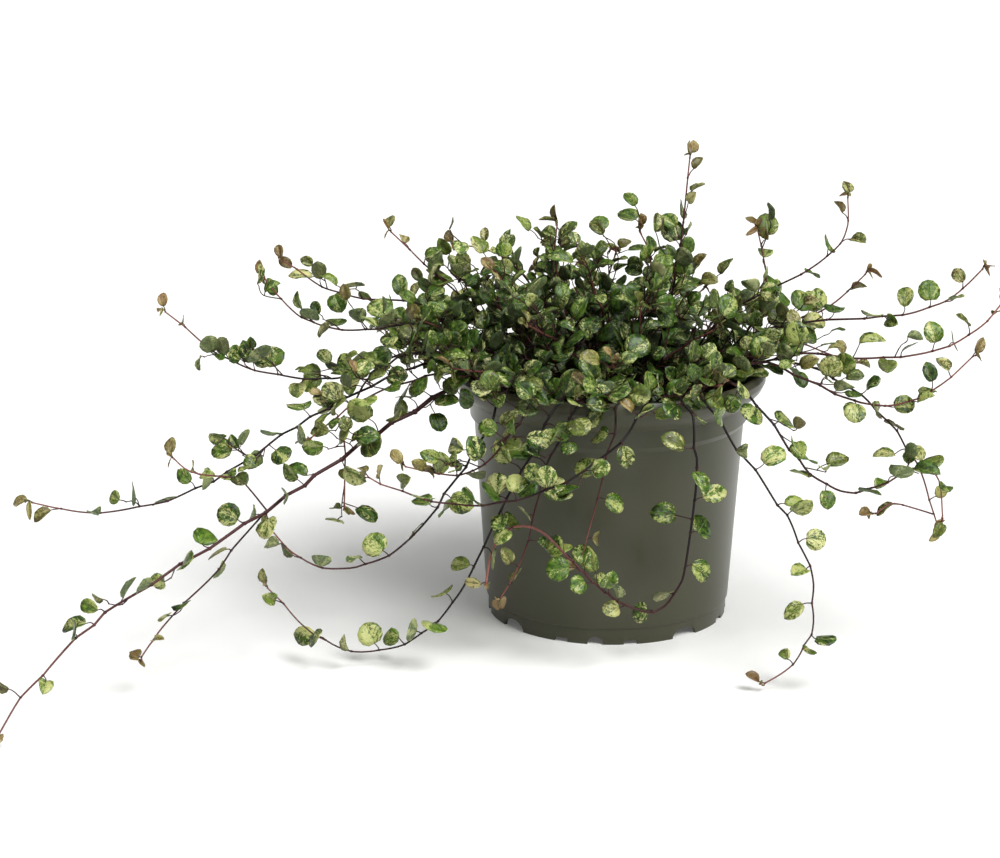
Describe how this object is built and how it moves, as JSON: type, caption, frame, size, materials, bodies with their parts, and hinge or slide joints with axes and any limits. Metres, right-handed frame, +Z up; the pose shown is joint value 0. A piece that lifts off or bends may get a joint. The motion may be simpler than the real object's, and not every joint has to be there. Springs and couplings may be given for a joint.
{
  "type": "potted wire vine",
  "caption": "Trailing wire vine with small round variegated leaves on thin wiry stems, growing out of a soil-filled, tapered plastic nursery pot with a rolled lip",
  "frame": {"origin": "the middle of the pot's underside, on the surface that the pot stands on", "axes": "+Z is up, -Y is the front that the picture shows, and +X is to the right of it, the way the foliage spreads widest"},
  "size_m": [0.4864, 0.3512, 0.2466],
  "materials": {
    "pot": "moulded polypropylene, dark olive grey, slightly satin",
    "soil": "loose potting mix, dark brown",
    "foliage": "variegated green and cream leaves on dark red-brown stems"
  },
  "bodies": {
    "root": {"pot": "pot", "soil": "soil", "vine_left_runner": "foliage", "vine_left_low": "foliage", "vine_left_arch": "foliage", "vine_left_high": "foliage", "vine_left_fan": "foliage", "vine_left_short": "foliage", "vine_left_hanger": "foliage", "vine_right_high": "foliage", "vine_right_long": "foliage", "vine_right_fall": "foliage", "vine_right_swing": "foliage", "vine_right_hook": "foliage", "vine_front_right_fall": "foliage", "vine_front_drop": "foliage", "vine_front_mid": "foliage", "vine_front_cross": "foliage", "vine_front_left_arc": "foliage", "vine_front_left_fall": "foliage", "vine_front_floor": "foliage", "vine_front_left_drop": "foliage", "shoot_left_upright": "foliage", "shoot_left_curl": "foliage", "shoot_bud": "foliage", "shoot_tall": "foliage", "shoot_mid": "foliage", "shoot_right_upright": "foliage", "shoot_right_curl": "foliage", "shoot_right_sprig": "foliage", "sprig_01": "foliage", "sprig_02": "foliage", "sprig_03": "foliage", "sprig_04": "foliage", "sprig_05": "foliage", "sprig_06": "foliage", "sprig_07": "foliage", "sprig_08": "foliage", "sprig_09": "foliage", "sprig_10": "foliage", "sprig_11": "foliage", "sprig_12": "foliage", "sprig_13": "foliage", "sprig_14": "foliage", "sprig_15": "foliage", "sprig_16": "foliage", "sprig_17": "foliage", "sprig_18": "foliage", "sprig_19": "foliage", "sprig_20": "foliage", "sprig_21": "foliage", "vine_back_1": "foliage", "vine_back_2": "foliage", "vine_back_3": "foliage", "vine_back_4": "foliage", "vine_back_5": "foliage", "vine_back_6": "foliage", "vine_back_7": "foliage", "vine_back_8": "foliage"}
  },
  "joints": []
}
